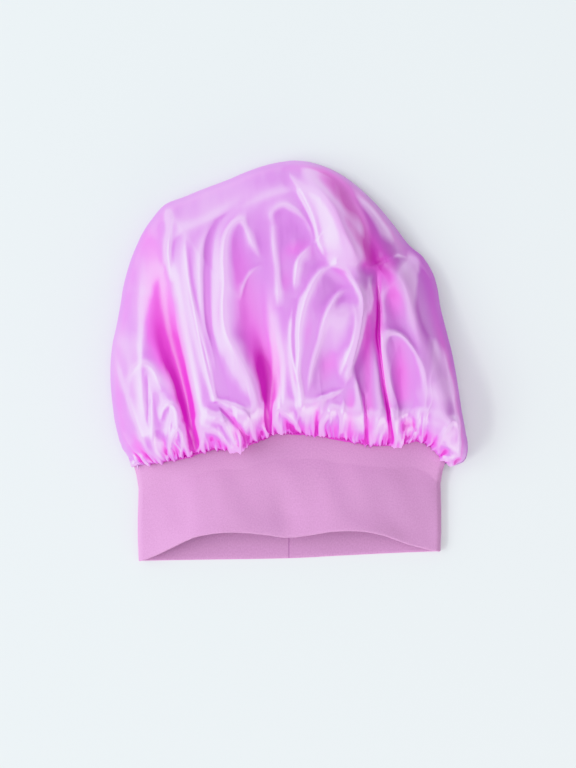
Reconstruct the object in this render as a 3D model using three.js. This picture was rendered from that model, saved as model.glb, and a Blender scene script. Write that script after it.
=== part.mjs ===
// A satin hair bonnet with a wide knit band, laid flat on its back.
// Millimetres. X runs across the bonnet, Y from the mouth of the band to the top of the crown, Z up from the table.
// The crown is one round of satin, gathered onto the band. The band is one strip of knit, folded double along the mouth
// and closed by a seam at the centre back. Threads hold the gathers, the crown seam and the band seam.
import * as THREE from "three";

// Cloth and thread
const satin = 0.8; // thickness of the crown's cloth
const knit = 1.0; // thickness of one layer of the band
const thread = 0.6; // thickness of a row of stitches
const clearance = 0.3; // between pieces that touch
const plyGap = 0.3; // between the two layers of the band

// Band
const bandWidth = 251; // across the mouth, laid flat
const topSpread = 8; // how much wider it lies at the seam with the crown
const waistInset = 3; // how far each side draws in between the two
const mouthDrop = 80.8; // from the seam's left end down to the mouth's left corner
const mouthTilt = 8; // how much higher the mouth's right corner lies
const mouthDraw = 23; // how far the front edge is drawn back from the back edge
const mouthLift = 15; // how far the front edge stands open, over the folded sides
const foldRadius = 3.2; // of the folded sides, to the middle of the wall
const backFlatShare = 0.75; // of the band's height that lies on the table at the back
const bandSeamSlot = 1.2; // between the strip's two ends at the centre back

// Crown
const sideBulge = 19.5; // how far the crown spreads past each end of the seam
const crownLength = 254; // from the seam's ends to the top
const seamWave = 26.5; // how far the seam rises between its ends
const seamLift = 9; // how far the band's front stands off its back at the seam
const puffHeight = 33; // of the front, over the line from seam to outline
const sideHeight = 9; // of the outline, over the table
const edgeRound = 58; // distance over which the front rounds up from the outline
const seamRound = 30; // distance over which it rounds up from the seam
const foldFade = 16; // distance over which the folds die out at the outline and the seam

// Crown seam
const allowance = 7; // cloth turned in past the seam
const overlockBite = 3.6; // how far the overlock stitches reach down the allowance
const gatherRow = 1.4; // height of the gathering stitches over the seam
const needleRow = 1.2; // height of the needle stitches over the seam

const halfColumns = 15; // of faces, from the centre to a side, on the front and again on the back
const columns = 2 * halfColumns;
const upStepShare = 0.45; // how much a step up the outline counts, next to one across
const bandTopWidth = bandWidth + topSpread;
const bandWall = 2 * knit + plyGap;
const turnGap = 2 * clearance + thread; // inside the crown's turned edge, room for the stitches
const turnDepth = clearance + 2 * satin + turnGap; // from the band's face to the crown's outer face
const crownWidth = bandTopWidth + 2 * sideBulge;

// The crown's outline, from the seam's left end over the top to its right end: x as shares of the crown's width, y of its
// length. The seam's own ends come before and after these.
const outlineShares = [
  [-0.471, 0.059], [-0.496, 0.194], [-0.501, 0.335], [-0.485, 0.456], [-0.465, 0.588], [-0.429, 0.719],
  [-0.378, 0.818], [-0.334, 0.864], [-0.247, 0.903], [-0.113, 0.966], [-0.001, 0.998], [0.066, 0.992],
  [0.155, 0.946], [0.244, 0.854], [0.334, 0.722], [0.401, 0.631], [0.423, 0.516], [0.457, 0.358],
  [0.482, 0.177], [0.499, 0.062], [0.485, 0.007],
];

// Where the band meets the crown: share across the band, share of the seam's wave.
const seamFrontShares = [
  [0, -0.03], [0.096, 0.09], [0.177, 0.22], [0.26, 0.5], [0.341, 0.5], [0.46, 1], [0.592, 0.94],
  [0.675, 0.75], [0.8, 0.62], [0.9, 0.7], [0.955, 0.36], [1, 0.06],
];
const seamBackShares = [[0, -0.03], [0.25, 0.6], [0.5, 0.85], [0.75, 0.65], [1, 0.06]];

// The front edge of the mouth: share across the band, share of how far it is drawn back and stands open.
const mouthFrontShares = [
  [0, 0], [0.05, 0.18], [0.11, 0.47], [0.2, 0.89], [0.28, 1], [0.35, 0.98], [0.43, 0.86], [0.49, 0.74], [0.57, 0.81],
  [0.65, 0.91], [0.74, 0.88], [0.82, 0.68], [0.89, 0.35], [0.955, 0.13], [1, 0],
];

// How far the band's sides draw in: share of its height, share of the inset.
const waistShares = [[0, 0], [0.45, 0.4], [0.75, 1], [1, 0]];

// Rows of the crown between the seam and the outline.
const frontRowShares = [0.06, 0.15, 0.25, 0.36, 0.48, 0.6, 0.72, 0.83, 0.92, 0.97, 1];
const backRowShares = [0.5, 0.94, 1];

// Rows of the band between the mouth and the seam.
const bandRowShares = [0.4, 0.75, 1];

// The crown's main folds. Each is a path, with x as shares of the crown's width and y of its length, from the seam up, and
// a rise and a reach to each side, as shares of the puff's height.
const foldShares = [
  { rise: 0.2, reach: 0.4, path: [[-0.4, 0.1], [-0.44, 0.28], [-0.44, 0.47], [-0.38, 0.75]] },
  { rise: -0.42, reach: 0.33, path: [[-0.25, 0.05], [-0.29, 0.22], [-0.32, 0.4], [-0.34, 0.6], [-0.33, 0.78]] },
  { rise: 0.2, reach: 0.4, path: [[-0.17, 0.08], [-0.2, 0.28], [-0.22, 0.5], [-0.17, 0.76], [-0.08, 0.84]] },
  { rise: -0.5, reach: 0.36, path: [[-0.06, 0.08], [-0.06, 0.28], [-0.04, 0.45], [0, 0.6], [0.05, 0.74]] },
  { rise: 0.24, reach: 0.34, path: [[0.04, 0.1], [0.04, 0.3], [0.07, 0.5], [0.12, 0.66], [0.08, 0.84]] },
  { rise: 0.2, reach: 0.36, path: [[0.15, 0.1], [0.16, 0.3], [0.17, 0.5], [0.15, 0.62]] },
  { rise: -0.5, reach: 0.3, path: [[0.28, 0.06], [0.26, 0.25], [0.25, 0.45], [0.24, 0.6], [0.17, 0.78]] },
  { rise: 0.24, reach: 0.34, path: [[0.37, 0.1], [0.37, 0.28], [0.34, 0.46], [0.32, 0.66]] },
];

// The y value at x of a smooth line through points that run from left to right.
function smoothLine(points) {
  const last = points.length - 1;
  const slope = (i) => {
    const [a, b] = [points[Math.max(i - 1, 0)], points[Math.min(i + 1, last)]];
    return (b[1] - a[1]) / (b[0] - a[0]);
  };
  return (x) => {
    const i = Math.min(Math.max(points.findIndex((p) => p[0] > x) - 1, 0), last - 1);
    const at = x >= points[last][0] ? last - 1 : i;
    const [[x0, y0], [x1, y1]] = [points[at], points[at + 1]];
    const [width, t] = [x1 - x0, (x - x0) / (x1 - x0)];
    const [t2, t3] = [t * t, t * t * t];
    return (
      y0 * (2 * t3 - 3 * t2 + 1) +
      y1 * (3 * t2 - 2 * t3) +
      width * (slope(at) * (t3 - 2 * t2 + t) + slope(at + 1) * (t3 - t2))
    );
  };
}

const seamFront = smoothLine(seamFrontShares);
const seamBack = smoothLine(seamBackShares);
const mouthFront = smoothLine(mouthFrontShares);
const waist = smoothLine(waistShares);

// Distance from a point to the nearest of a line's segments, and how far along the line that is, from 0 to 1.
function nearestOn(line, x, y) {
  let best = { distance: Infinity, along: 0 };
  for (let i = 0; i + 1 < line.length; i += 1) {
    const [a, b] = [line[i], line[i + 1]];
    const [dx, dy] = [b[0] - a[0], b[1] - a[1]];
    const t = THREE.MathUtils.clamp(((x - a[0]) * dx + (y - a[1]) * dy) / (dx * dx + dy * dy), 0, 1);
    const distance = Math.hypot(x - a[0] - t * dx, y - a[1] - t * dy);
    if (distance < best.distance) best = { distance, along: (i + t) / (line.length - 1) };
  }
  return best;
}

// Quarter circle from 0 to 1, and a gentler ease, both level at 1.
const quarterRound = (q) => Math.sqrt(1 - (1 - Math.min(q, 1)) ** 2);
const ease = (q) => THREE.MathUtils.smoothstep(q, 0, 1);

// The band's height at share s from mouth to seam, on one side of the bonnet, at share f across it.
function bandY(side, f, s) {
  const corner = -mouthDrop + mouthTilt * f;
  const mouth = corner + (side === "front" ? mouthDraw * mouthFront(f) : 0);
  const seam = seamWave * (side === "front" ? seamFront(f) : seamBack(f));
  return THREE.MathUtils.lerp(mouth, seam, s);
}

// Distance from the band's left fold, to the middle of the wall, for each column: two columns round each fold.
function columnX(k, width) {
  const fromEnd = Math.min(k, columns - k);
  const round = [0, foldRadius * (1 - Math.SQRT1_2), foldRadius];
  const spaced = foldRadius + ((k - 2) / (columns - 4)) * (width - 2 * foldRadius);
  if (fromEnd > 2) return spaced;
  return k === fromEnd ? round[fromEnd] : width - round[fromEnd];
}

// How far the band's front stands off its back at share f across and s up, over the folded sides.
function frontStand(f, s) {
  const mouth = mouthLift * mouthFront(f);
  const seam = seamLift * Math.sin(Math.PI * f) ** 0.7;
  return THREE.MathUtils.lerp(mouth, seam, s);
}

// A point on the band's wall, off its middle by a distance outwards, and up from share s by a distance.
function bandPoint(side, x, s, off, up = 0) {
  const width = THREE.MathUtils.lerp(bandWidth, bandTopWidth, s) - 2 * waistInset * waist(s);
  const f = x / width;
  const backLift = turnDepth * Math.max(0, (s - backFlatShare) / (1 - backFlatShare));
  const fromFold = Math.min(x, width - x);
  const half = fromFold < foldRadius ? Math.sqrt(foldRadius ** 2 - (foldRadius - fromFold) ** 2) : foldRadius;
  const outward = new THREE.Vector2(0, side === "front" ? 1 : -1);
  if (fromFold < foldRadius) {
    outward.set((x < width / 2 ? -1 : 1) * (foldRadius - fromFold), outward.y * half).normalize();
  } else if (side === "front") {
    const step = width / columns;
    const [left, right] = [frontStand(Math.max(f - step / width, 0), s), frontStand(Math.min(f + step / width, 1), s)];
    outward.set((left - right) / (2 * step), 1).normalize();
  }
  const stand = side === "front" ? frontStand(f, s) * ease(fromFold / foldRadius) : 0;
  const middle = bandWall / 2 + backLift + foldRadius + (side === "front" ? half + stand : -half);
  return new THREE.Vector3(x - width / 2 + outward.x * off, bandY(side, f, s) + up, middle + outward.y * off);
}

// The stations of a full turn round the band: along the front from left to right, then back along the back.
const turn = [];
for (let k = 0; k < columns; k += 1) turn.push({ side: "front", k });
for (let k = columns; k > 0; k -= 1) turn.push({ side: "back", k });

// The same point for a column, at the seam or lower.
function wallPoint({ side, k, shift = 0 }, s, off, up = 0) {
  const width = THREE.MathUtils.lerp(bandWidth, bandTopWidth, s) - 2 * waistInset * waist(s);
  return bandPoint(side, columnX(k, width) + shift, s, off, up);
}

// A closed skin: points, and faces between them. A face with two corners alike is left out.
class Skin {
  points = [];
  faces = [];

  add(point) {
    return this.points.push(point) - 1;
  }

  triangle(a, b, c) {
    if (a !== b && b !== c && c !== a) this.faces.push(a, b, c);
  }

  // Fills between two rows of points, which run the same way. Turned over, it has the same edges and faces the other way.
  strip(low, high, { closed = false, over = false } = {}) {
    for (let i = 0; i + (closed ? 0 : 1) < low.length; i += 1) {
      const j = (i + 1) % low.length;
      for (const [a, b, c] of [[low[i], low[j], high[j]], [low[i], high[j], high[i]]]) {
        this.triangle(a, over ? c : b, over ? b : c);
      }
    }
  }

  geometry() {
    const geometry = new THREE.BufferGeometry();
    geometry.setAttribute("position", new THREE.Float32BufferAttribute(this.points.flatMap((p) => p.toArray()), 3));
    geometry.setIndex(this.faces);
    geometry.computeVertexNormals();
    return geometry;
  }
}

// Joins the rows that go round a section, given how high and how far out each one is. Each strip runs the same way up and
// out, so that faces which lie along each other have matching edges and can't cross.
function wrapSection(skin, rows, ranks, closed) {
  rows.forEach((row, i) => {
    const next = (i + 1) % rows.length;
    if (ranks[next] < ranks[i]) skin.strip(rows[next], row, { closed });
    else skin.strip(row, rows[next], { closed, over: true });
  });
}

// A ring of stitches round the crown seam. Its section is a list of distances off the band's wall and up.
function seamRing(section) {
  const skin = new Skin();
  const rows = section.map(([off, up]) => turn.map((at) => skin.add(wallPoint(at, 1, off, up))));
  wrapSection(skin, rows, section.map(([off, up]) => off + up), true);
  return skin.geometry();
}

// The folded strip's section, from the outer layer's top edge round the mouth to the inner layer's and down the gap
// between them: pairs of distance off the wall's middle, and share of the height with a distance up from it.
function bandSection() {
  const half = bandWall / 2;
  const [faceOut, gapOut] = [half, plyGap / 2];
  const up = (off) => [...bandRowShares.map((share) => [off, share, 0]), [off, 1, allowance]];
  const down = (off) => up(off).reverse();
  const turned = (angle) => [half * Math.cos(angle), 0, half - half * Math.sin(angle)];
  return [
    ...down(faceOut),
    ...[0, Math.PI / 3, (2 * Math.PI) / 3, Math.PI].map(turned),
    ...up(-faceOut),
    ...down(-gapOut),
    [-gapOut, 0, knit],
    [gapOut, 0, knit],
    ...up(gapOut),
  ];
}

// A length of the folded strip past the given stations, with both cut ends closed.
function foldedStrip(stations) {
  const skin = new Skin();
  const section = bandSection();
  const rows = section.map(([off, s, up]) => stations.map((at) => skin.add(wallPoint(at, s, off, up))));
  wrapSection(skin, rows, section.map(([off, s, up]) => off + s * mouthDrop + up), false);
  const cut = rows.map(([first]) => new THREE.Vector2(-skin.points[first].z, skin.points[first].y));
  const caps = THREE.ShapeUtils.triangulateShape(cut, []);
  const end = stations.length - 1;
  for (const [a, b, c] of caps) {
    skin.triangle(rows[a][0], rows[b][0], rows[c][0]);
    skin.triangle(rows[a][end], rows[c][end], rows[b][end]);
  }
  return skin.geometry();
}

// The strip runs from one side of the centre-back slot, round the left fold, the front and the right fold, to the other.
function bandGeometry() {
  const centre = halfColumns;
  const stations = [{ side: "back", k: centre, shift: -bandSeamSlot / 2 }];
  for (let k = centre - 1; k > 0; k -= 1) stations.push({ side: "back", k });
  for (let k = 0; k < columns; k += 1) stations.push({ side: "front", k });
  for (let k = columns; k > centre; k -= 1) stations.push({ side: "back", k });
  stations.push({ side: "back", k: centre, shift: bandSeamSlot / 2 });
  return foldedStrip(stations);
}

// The stitches that close the band stand in the slot between its ends.
function bandSeamGeometry() {
  const half = bandSeamSlot / 2 - clearance;
  const back = (shift) => ({ side: "back", k: halfColumns, shift });
  return foldedStrip([back(half), back(-half)]);
}

// The crown's outline in plan, as a fine line for distances, and as the columns' ends. These lie at even steps, where a
// step up or down counts for less than one across, so that the columns run up the crown as its folds do.
function crownOutline() {
  const end = (k) => wallPoint({ side: "front", k }, 1, bandWall / 2 + turnDepth);
  const between = outlineShares.map(([x, y]) => new THREE.Vector3(x * crownWidth, y * crownLength, 0));
  const [left, right] = [end(0), end(columns)];
  const curve = new THREE.CatmullRomCurve3([left.clone().setZ(0), ...between, right.clone().setZ(0)], false, "centripetal");
  const line = curve.getSpacedPoints(8 * columns);
  const steps = [0];
  for (let i = 1; i < line.length; i += 1) {
    const [dx, dy] = [line[i].x - line[i - 1].x, line[i].y - line[i - 1].y];
    steps.push(steps[i - 1] + Math.abs(dx) + upStepShare * Math.abs(dy));
  }
  const points = [left];
  for (let k = 1; k < columns; k += 1) {
    const target = (k / columns) * steps.at(-1);
    const i = steps.findIndex((step) => step > target);
    const t = (target - steps[i - 1]) / (steps[i] - steps[i - 1]);
    points.push(line[i - 1].clone().lerp(line[i], t).setZ(sideHeight));
  }
  return { points: [...points, right], line: line.map((p) => [p.x, p.y]) };
}

// How far the crown's front stands over the line from seam to outline, at a point in plan.
function frontPuff(x, y, outline, seamLine) {
  const fromOutline = nearestOn(outline, x, y).distance;
  const fromSeam = nearestOn(seamLine, x, y).distance;
  const mask = ease(fromOutline / foldFade) * ease(fromSeam / foldFade);
  let folds = 0;
  for (const { rise, reach, path } of foldShares) {
    const placed = path.map(([px, py]) => [px * crownWidth, py * crownLength]);
    const { distance, along } = nearestOn(placed, x, y);
    const taper = 0.35 + 0.65 * Math.sin(Math.PI * along) ** 0.6;
    folds += rise * taper * Math.exp(-((distance / (reach * puffHeight)) ** 2));
  }
  return puffHeight * (quarterRound(fromOutline / edgeRound) * quarterRound(fromSeam / seamRound) + mask * folds);
}

// The crown: an outer face and an inner face, both from the turned edge at the seam to the outline and back.
function crownGeometry() {
  const skin = new Skin();
  const outline = crownOutline();
  const start = bandWall / 2 + clearance; // the cloth's right side, next to the band
  const radius = satin + turnGap / 2;
  const outerTurn = [[start, allowance], [start, 0], [start + radius, -radius], [start + 2 * radius, 0]];
  const inner = start + satin;
  const innerTurn = [[inner, allowance], [inner, 0], [inner + turnGap, 0]];
  const ringRows = (section) => section.map(([off, up]) => turn.map((at) => skin.add(wallPoint(at, 1, off, up))));
  const [outerRings, innerRings] = [ringRows(outerTurn), ringRows(innerTurn)];
  const seamLine = turn.slice(0, columns + 1).map((at) => wallPoint(at, 1, start + 2 * radius)).map((p) => [p.x, p.y]);

  // Rows of one side, from the ring to the outline. The end columns have no length, so they keep the ring's point.
  const column = (ring, side, k) => ring[side === "front" ? k : (2 * columns - k) % (2 * columns)];
  const sideRows = (ring, side, shares, place, outlineRow) => {
    const first = [];
    for (let k = 0; k <= columns; k += 1) first.push(column(ring, side, k));
    const rows = shares.map((share) => {
      if (share === 1) return outlineRow;
      return first.map((at, k) => (k % columns === 0 ? at : skin.add(place(skin.points[at], k, share))));
    });
    return [first, ...rows];
  };

  const outerRing = outerRings.at(-1);
  const outerOutline = outline.points.map((p, k) => (k % columns === 0 ? outerRing[k] : skin.add(p)));
  const along = (from, k, share) => from.clone().lerp(outline.points[k], share);
  const outerFront = sideRows(outerRing, "front", frontRowShares, (from, k, share) => {
    const point = along(from, k, share);
    return point.setZ(point.z + frontPuff(point.x, point.y, outline.line, seamLine));
  }, outerOutline);
  const outerBack = sideRows(outerRing, "back", backRowShares, (from, k, share) => along(from, k, share).setZ(0), outerOutline);

  outerRings.slice(1).forEach((row, i) => skin.strip(outerRings[i], row, { closed: true }));
  outerFront.slice(1).forEach((row, i) => skin.strip(outerFront[i], row));
  outerBack.slice(1).forEach((row, i) => skin.strip(row, outerBack[i]));

  // The inner face lies one cloth thickness inside the outer one, measured square to it.
  const normals = skin.geometry().getAttribute("normal");
  const inward = (at) => {
    const normal = new THREE.Vector3().fromBufferAttribute(normals, at);
    return skin.points[at].clone().addScaledVector(normal, -satin);
  };
  const innerRing = innerRings.at(-1);
  const innerOutline = outerOutline.map((at, k) => (k % columns === 0 ? innerRing[k] : skin.add(inward(at))));
  const innerRows = (outerRows, side) => {
    const first = outerRows[0].map((_, k) => column(innerRing, side, k));
    const middle = outerRows.slice(1, -1).map((row) =>
      row.map((at, k) => (k % columns === 0 ? first[k] : skin.add(inward(at)))));
    return [first, ...middle, innerOutline];
  };
  const [innerFront, innerBack] = [innerRows(outerFront, "front"), innerRows(outerBack, "back")];
  innerRings.slice(1).forEach((row, i) => skin.strip(innerRings[i], row, { closed: true, over: true }));
  innerFront.slice(1).forEach((row, i) => skin.strip(innerFront[i], row, { over: true }));
  innerBack.slice(1).forEach((row, i) => skin.strip(row, innerBack[i], { over: true }));
  skin.strip(innerRings[0], outerRings[0], { closed: true });
  return skin.geometry();
}

// The overlock stitches wrap the top of the crown's turned edge and both layers of the band.
function overlockGeometry() {
  const outer = bandWall / 2 + clearance + satin + clearance;
  const inner = -bandWall / 2 - clearance;
  const [foot, roof] = [allowance - overlockBite, allowance + clearance];
  return seamRing([
    [outer + thread, foot],
    [outer, foot],
    [outer, roof],
    [inner, roof],
    [inner, foot],
    [inner - thread, foot],
    [inner - thread, roof + thread],
    [outer + thread, roof + thread],
  ]);
}

// A row of stitches lying on a face of the seam, from one distance off the wall's middle outwards.
function stitchRow(off, up) {
  return seamRing([[off + thread, up], [off, up], [off, up + thread], [off + thread, up + thread]]);
}

const satinLook = new THREE.MeshStandardMaterial({ color: 0xe39de9, roughness: 0.35, metalness: 0.1 });
const knitLook = new THREE.MeshStandardMaterial({ color: 0xdaa0d5, roughness: 0.9, metalness: 0 });
const threadLook = new THREE.MeshStandardMaterial({ color: 0xc98cc9, roughness: 0.6, metalness: 0 });

const bonnet = new THREE.Group();
const piece = (name, geometry, material) => {
  const mesh = new THREE.Mesh(geometry, material);
  mesh.name = name;
  bonnet.add(mesh);
};

piece("crown", crownGeometry(), satinLook);
piece("band", bandGeometry(), knitLook);
piece("band_seam_thread", bandSeamGeometry(), threadLook);
piece("crown_gathering_thread", stitchRow(bandWall / 2 + 2 * clearance + satin, gatherRow), threadLook);
piece("crown_seam_overlock", overlockGeometry(), threadLook);
piece("crown_seam_needle_thread", stitchRow(-bandWall / 2 - clearance - thread, needleRow), threadLook);

// The origin is under the middle of the bonnet's outline box, on the table.
const box = new THREE.Box3().setFromObject(bonnet, true);
const middle = box.getCenter(new THREE.Vector3());
bonnet.position.set(-middle.x, -middle.y, -box.min.z);

export default bonnet;
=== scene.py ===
# %% [markdown]
# # A satin hair bonnet
#
# The real bonnet is a round of satin, gathered onto a wide band of stretch knit that is folded double along the
# mouth. It lies flat on its back and is seen from straight above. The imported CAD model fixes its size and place.
# Everything here is built over it in metres: X runs across the bonnet, Y from the mouth to the crown's top, and Z up
# from the table.

import bpy
import numpy as np
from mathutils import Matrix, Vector


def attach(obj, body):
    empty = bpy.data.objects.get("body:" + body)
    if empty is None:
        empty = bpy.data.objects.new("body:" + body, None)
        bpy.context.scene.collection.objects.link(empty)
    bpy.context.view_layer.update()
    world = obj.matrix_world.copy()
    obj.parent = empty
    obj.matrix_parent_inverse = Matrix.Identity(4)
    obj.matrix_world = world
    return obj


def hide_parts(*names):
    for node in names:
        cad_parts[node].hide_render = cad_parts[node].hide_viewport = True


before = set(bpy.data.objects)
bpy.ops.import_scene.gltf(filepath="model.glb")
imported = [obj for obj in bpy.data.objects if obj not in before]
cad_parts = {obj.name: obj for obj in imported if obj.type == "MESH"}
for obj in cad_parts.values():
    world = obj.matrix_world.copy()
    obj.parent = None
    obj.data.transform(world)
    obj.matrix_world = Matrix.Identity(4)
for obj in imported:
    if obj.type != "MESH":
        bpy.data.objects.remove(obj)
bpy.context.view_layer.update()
MM = 0.001

# %% [markdown]
# ## From the photograph to the table
#
# Lines are given in the photograph's pixels. The folds, the seam and the mouth are drawn. The crown's outline
# is measured instead: most of its points were picked from a program's read-out of where the pink cloth begins. The
# camera looked straight down, so one scale and one centre turn a pixel into a place on the table.

# %% Pixels to metres
PIXEL = 5 / 6 * MM
CENTRE_PX = (288.78, 360.56)
PHOTO_SIZE = np.array([576, 768])


def on_table(points):
    """Places in the photograph, in pixels, as places on the table, in metres."""
    points = np.asarray(points, float)
    return np.stack([(points[..., 0] - CENTRE_PX[0]) * PIXEL, (CENTRE_PX[1] - points[..., 1]) * PIXEL], -1)


def length_along(line):
    """How far along a line each of its points is."""
    return np.concatenate([[0], np.cumsum(np.linalg.norm(np.diff(line, axis=0), axis=1))])


def smooth_line(points, count):
    """A smooth line through points, as evenly spaced points."""
    p = np.asarray(points, float)
    p = np.vstack([2 * p[0] - p[1], p, 2 * p[-1] - p[-2]])
    t = np.linspace(0, len(p) - 3, 24 * (len(p) - 3) + 1)[:-1]
    i = t.astype(int)
    f = (t - i)[:, None]
    a, b, c, d = p[i], p[i + 1], p[i + 2], p[i + 3]
    line = 0.5 * (2 * b + (c - a) * f + (2 * a - 5 * b + 4 * c - d) * f**2 + (3 * b - a - 3 * c + d) * f**3)
    line = np.vstack([line, p[-2]])
    along = length_along(line)
    steps = np.linspace(0, along[-1], count)
    return np.stack([np.interp(steps, along, line[:, k]) for k in range(p.shape[1])], -1)


def smoothstep(x):
    """Rises from 0 to 1 without corners."""
    x = np.clip(x, 0, 1)
    return x * x * (3 - 2 * x)


def place_object(name, data):
    """A new object in the scene."""
    thing = bpy.data.objects.new(name, data)
    bpy.context.scene.collection.objects.link(thing)
    return thing


photo_middle = on_table(PHOTO_SIZE / 2)
print("photograph's middle on the table, mm:", (photo_middle / MM).round(1))

# %% [markdown]
# ## Camera, lights and table
#
# A long lens straight above gives the photograph's framing. A large soft light from the left makes the left flank of
# each fold pale. Weaker ones from the right, above, behind and in front keep the other flanks from going dull. The
# room itself is bright on the left and dim on the right, as beside a window, so the satin darkens where it mirrors
# its right side.

# %% Camera
LENS, SENSOR = 85, 36
FRAME_HEIGHT = PHOTO_SIZE[1] * PIXEL
MIDDLE_HEIGHT = 14 * MM

camera_data = bpy.data.cameras.new("camera")
camera_data.lens, camera_data.sensor_width = LENS, SENSOR
camera = place_object("camera", camera_data)
camera.location = (*photo_middle, MIDDLE_HEIGHT + FRAME_HEIGHT * LENS / SENSOR)
bpy.context.scene.camera = camera
bpy.context.scene.view_settings.view_transform = "Khronos PBR Neutral"
print("camera height, mm:", round(camera.location.z / MM))


# %% Lights and world
DAYLIGHT, LAMPLIGHT = (0.90, 0.96, 1.0), (0.97, 0.96, 1.0)
ROOM_COLOUR = (0.92, 0.97, 1.0, 1)
ROOM_LEFT, ROOM_RIGHT = 0.62, 0.14


def soft_light(name, place, width, height, power, colour):
    """A soft rectangle of light that points at the bonnet."""
    data = bpy.data.lights.new(name, "AREA")
    data.shape, data.size, data.size_y, data.energy, data.color = "RECTANGLE", width, height, power, colour
    light = place_object(name, data)
    light.location = place
    light.rotation_euler = (-Vector(place)).to_track_quat("-Z", "Y").to_euler()


soft_light("key_light", (-1.95, -0.15, 1.38), 3.3, 1.5, 80, DAYLIGHT)
soft_light("right_light", (1.2, -0.1, 1.5), 1.6, 1.2, 3, LAMPLIGHT)
soft_light("top_light", (0.3, 0.0, 1.9), 1.4, 1.4, 6, DAYLIGHT)
soft_light("back_light", (-0.5, 1.5, 0.9), 2.4, 1.2, 11, DAYLIGHT)
soft_light("front_light", (0.8, -1.5, 0.6), 2.2, 0.8, 20, LAMPLIGHT)

world = bpy.data.worlds.new("studio")
bpy.context.scene.world = world
world.use_nodes = True
room = world.node_tree
sky = room.nodes["Background"]
sky.inputs["Color"].default_value = ROOM_COLOUR
direction, parts, fall = (room.nodes.new("ShaderNode" + kind) for kind in ("TexCoord", "SeparateXYZ", "MapRange"))
for name, value in {"From Min": -0.9, "From Max": 0.9, "To Min": ROOM_LEFT, "To Max": ROOM_RIGHT}.items():
    fall.inputs[name].default_value = value
room.links.new(direction.outputs["Generated"], parts.inputs[0])
room.links.new(parts.outputs["X"], fall.inputs["Value"])
room.links.new(fall.outputs[0], sky.inputs["Strength"])

# %% [markdown]
# ## A small language for finishes
#
# A shader is a graph of nodes. Written as Python expressions it stays readable: a Value wraps a socket, and its
# operators add the Math nodes. Every other node comes from one method.


# %% Values and finishes
def feed(tree, slot, value):
    """Links a Value to a socket, or sets the socket to a plain number or colour."""
    if isinstance(value, Value):
        tree.links.new(value.socket, slot)
    else:
        slot.default_value = value


class Value:
    """A number on a surface. Arithmetic on it adds Math nodes."""

    def __init__(self, tree, socket):
        self.tree, self.socket = tree, socket

    def math(self, operation, *values):
        node = self.tree.nodes.new("ShaderNodeMath")
        node.operation = operation
        for slot, value in zip(node.inputs, values):
            feed(self.tree, slot, value)
        return Value(self.tree, node.outputs[0])

    def __add__(self, other):
        return self.math("ADD", self, other)

    def __sub__(self, other):
        return self.math("SUBTRACT", self, other)

    def __rsub__(self, other):
        return self.math("SUBTRACT", other, self)

    def __mul__(self, other):
        return self.math("MULTIPLY", self, other)

    def __abs__(self):
        return self.math("ABSOLUTE", self)

    __radd__, __rmul__ = __add__, __mul__


class Finish:
    """A material made of a Principled shader and the nodes that vary it."""

    def __init__(self, name, constants):
        self.material = bpy.data.materials.new(name)
        self.material.use_nodes = True
        self.tree = self.material.node_tree
        self.shader = self.tree.nodes["Principled BSDF"]
        for socket, value in constants.items():
            self.vary(socket, value)

    def add(self, kind, settings, inputs, output=0):
        """Adds a node, its settings first and then its sockets, and gives one of its outputs."""
        node = self.tree.nodes.new("ShaderNode" + kind)
        for key, value in settings.items():
            if key == "stops":
                ramp = node.color_ramp.elements
                for extra in value[2:]:
                    ramp.new(extra[0])
                for stop, (place, colour) in zip(ramp, value):
                    stop.position, stop.color = place, colour
            else:
                setattr(node, key, value)
        for key, value in inputs.items():
            feed(self.tree, node.inputs[key], value)
        return Value(self.tree, node.outputs[output])

    def vary(self, socket, value):
        feed(self.tree, self.shader.inputs[socket], value)

    def attribute(self, name):
        return self.add("Attribute", {"attribute_name": name}, {}, "Fac")

    def cloth_place(self):
        return self.add("UVMap", {"uv_map": "cloth"}, {})

    def blend(self, share, first, second):
        node = {"data_type": "RGBA"}
        return self.add("Mix", node, {"Factor": share, 6: first, 7: second}, 2)

    def bump(self, height, strength, distance):
        return self.add("Bump", {}, {"Strength": strength, "Distance": distance, "Height": height})

    def remap(self, value, low, high, to_low=0.0, to_high=1.0):
        """Values from low to high, as values from to_low to to_high and nothing beyond them."""
        limits = {"From Min": low, "From Max": high, "To Min": to_low, "To Max": to_high}
        return self.add("MapRange", {}, {"Value": value} | limits)

    def fibres(self, per_metre, detail):
        """Noise as fine as a cloth's fibres, by their number per metre across and along it."""
        place = self.add("Mapping", {}, {"Vector": self.cloth_place(), "Scale": (*per_metre, 1)})
        return self.add("TexNoise", {}, {"Vector": place, "Scale": 1.0, "Detail": detail})


def srgb(r, g, b):
    """A colour as it is read off a picture, from 0 to 255, as the linear colour that a shader takes."""
    c = np.array([r, g, b]) / 255
    linear = np.where(c <= 0.04045, c / 12.92, ((c + 0.055) / 1.055) ** 2.4)
    return (*(float(v) for v in linear), 1.0)


# %% The table
table = Finish("pale_table", {"Roughness": 0.8, "Specular IOR Level": 0.2})
speckle = table.add("TexNoise", {}, {"Scale": 6.0, "Detail": 3.0})
table.vary("Base Color", table.blend(speckle, srgb(236, 238, 237), srgb(240, 242, 241)))

bpy.ops.mesh.primitive_plane_add(size=6, location=(0, 0, 0))
floor = bpy.context.object
floor.name = "table_top"
floor.data.materials.append(table.material)

# %% [markdown]
# ## The band's wall
#
# The band is a tube of double knit, laid flat: a back on the table, a front that stands a little open, and two
# rounded side folds. Everything at the seam is placed by its distance from the middle of this wall, as in the CAD
# model. The wall is worked out once, as a function of the way round it and the way up it.

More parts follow.
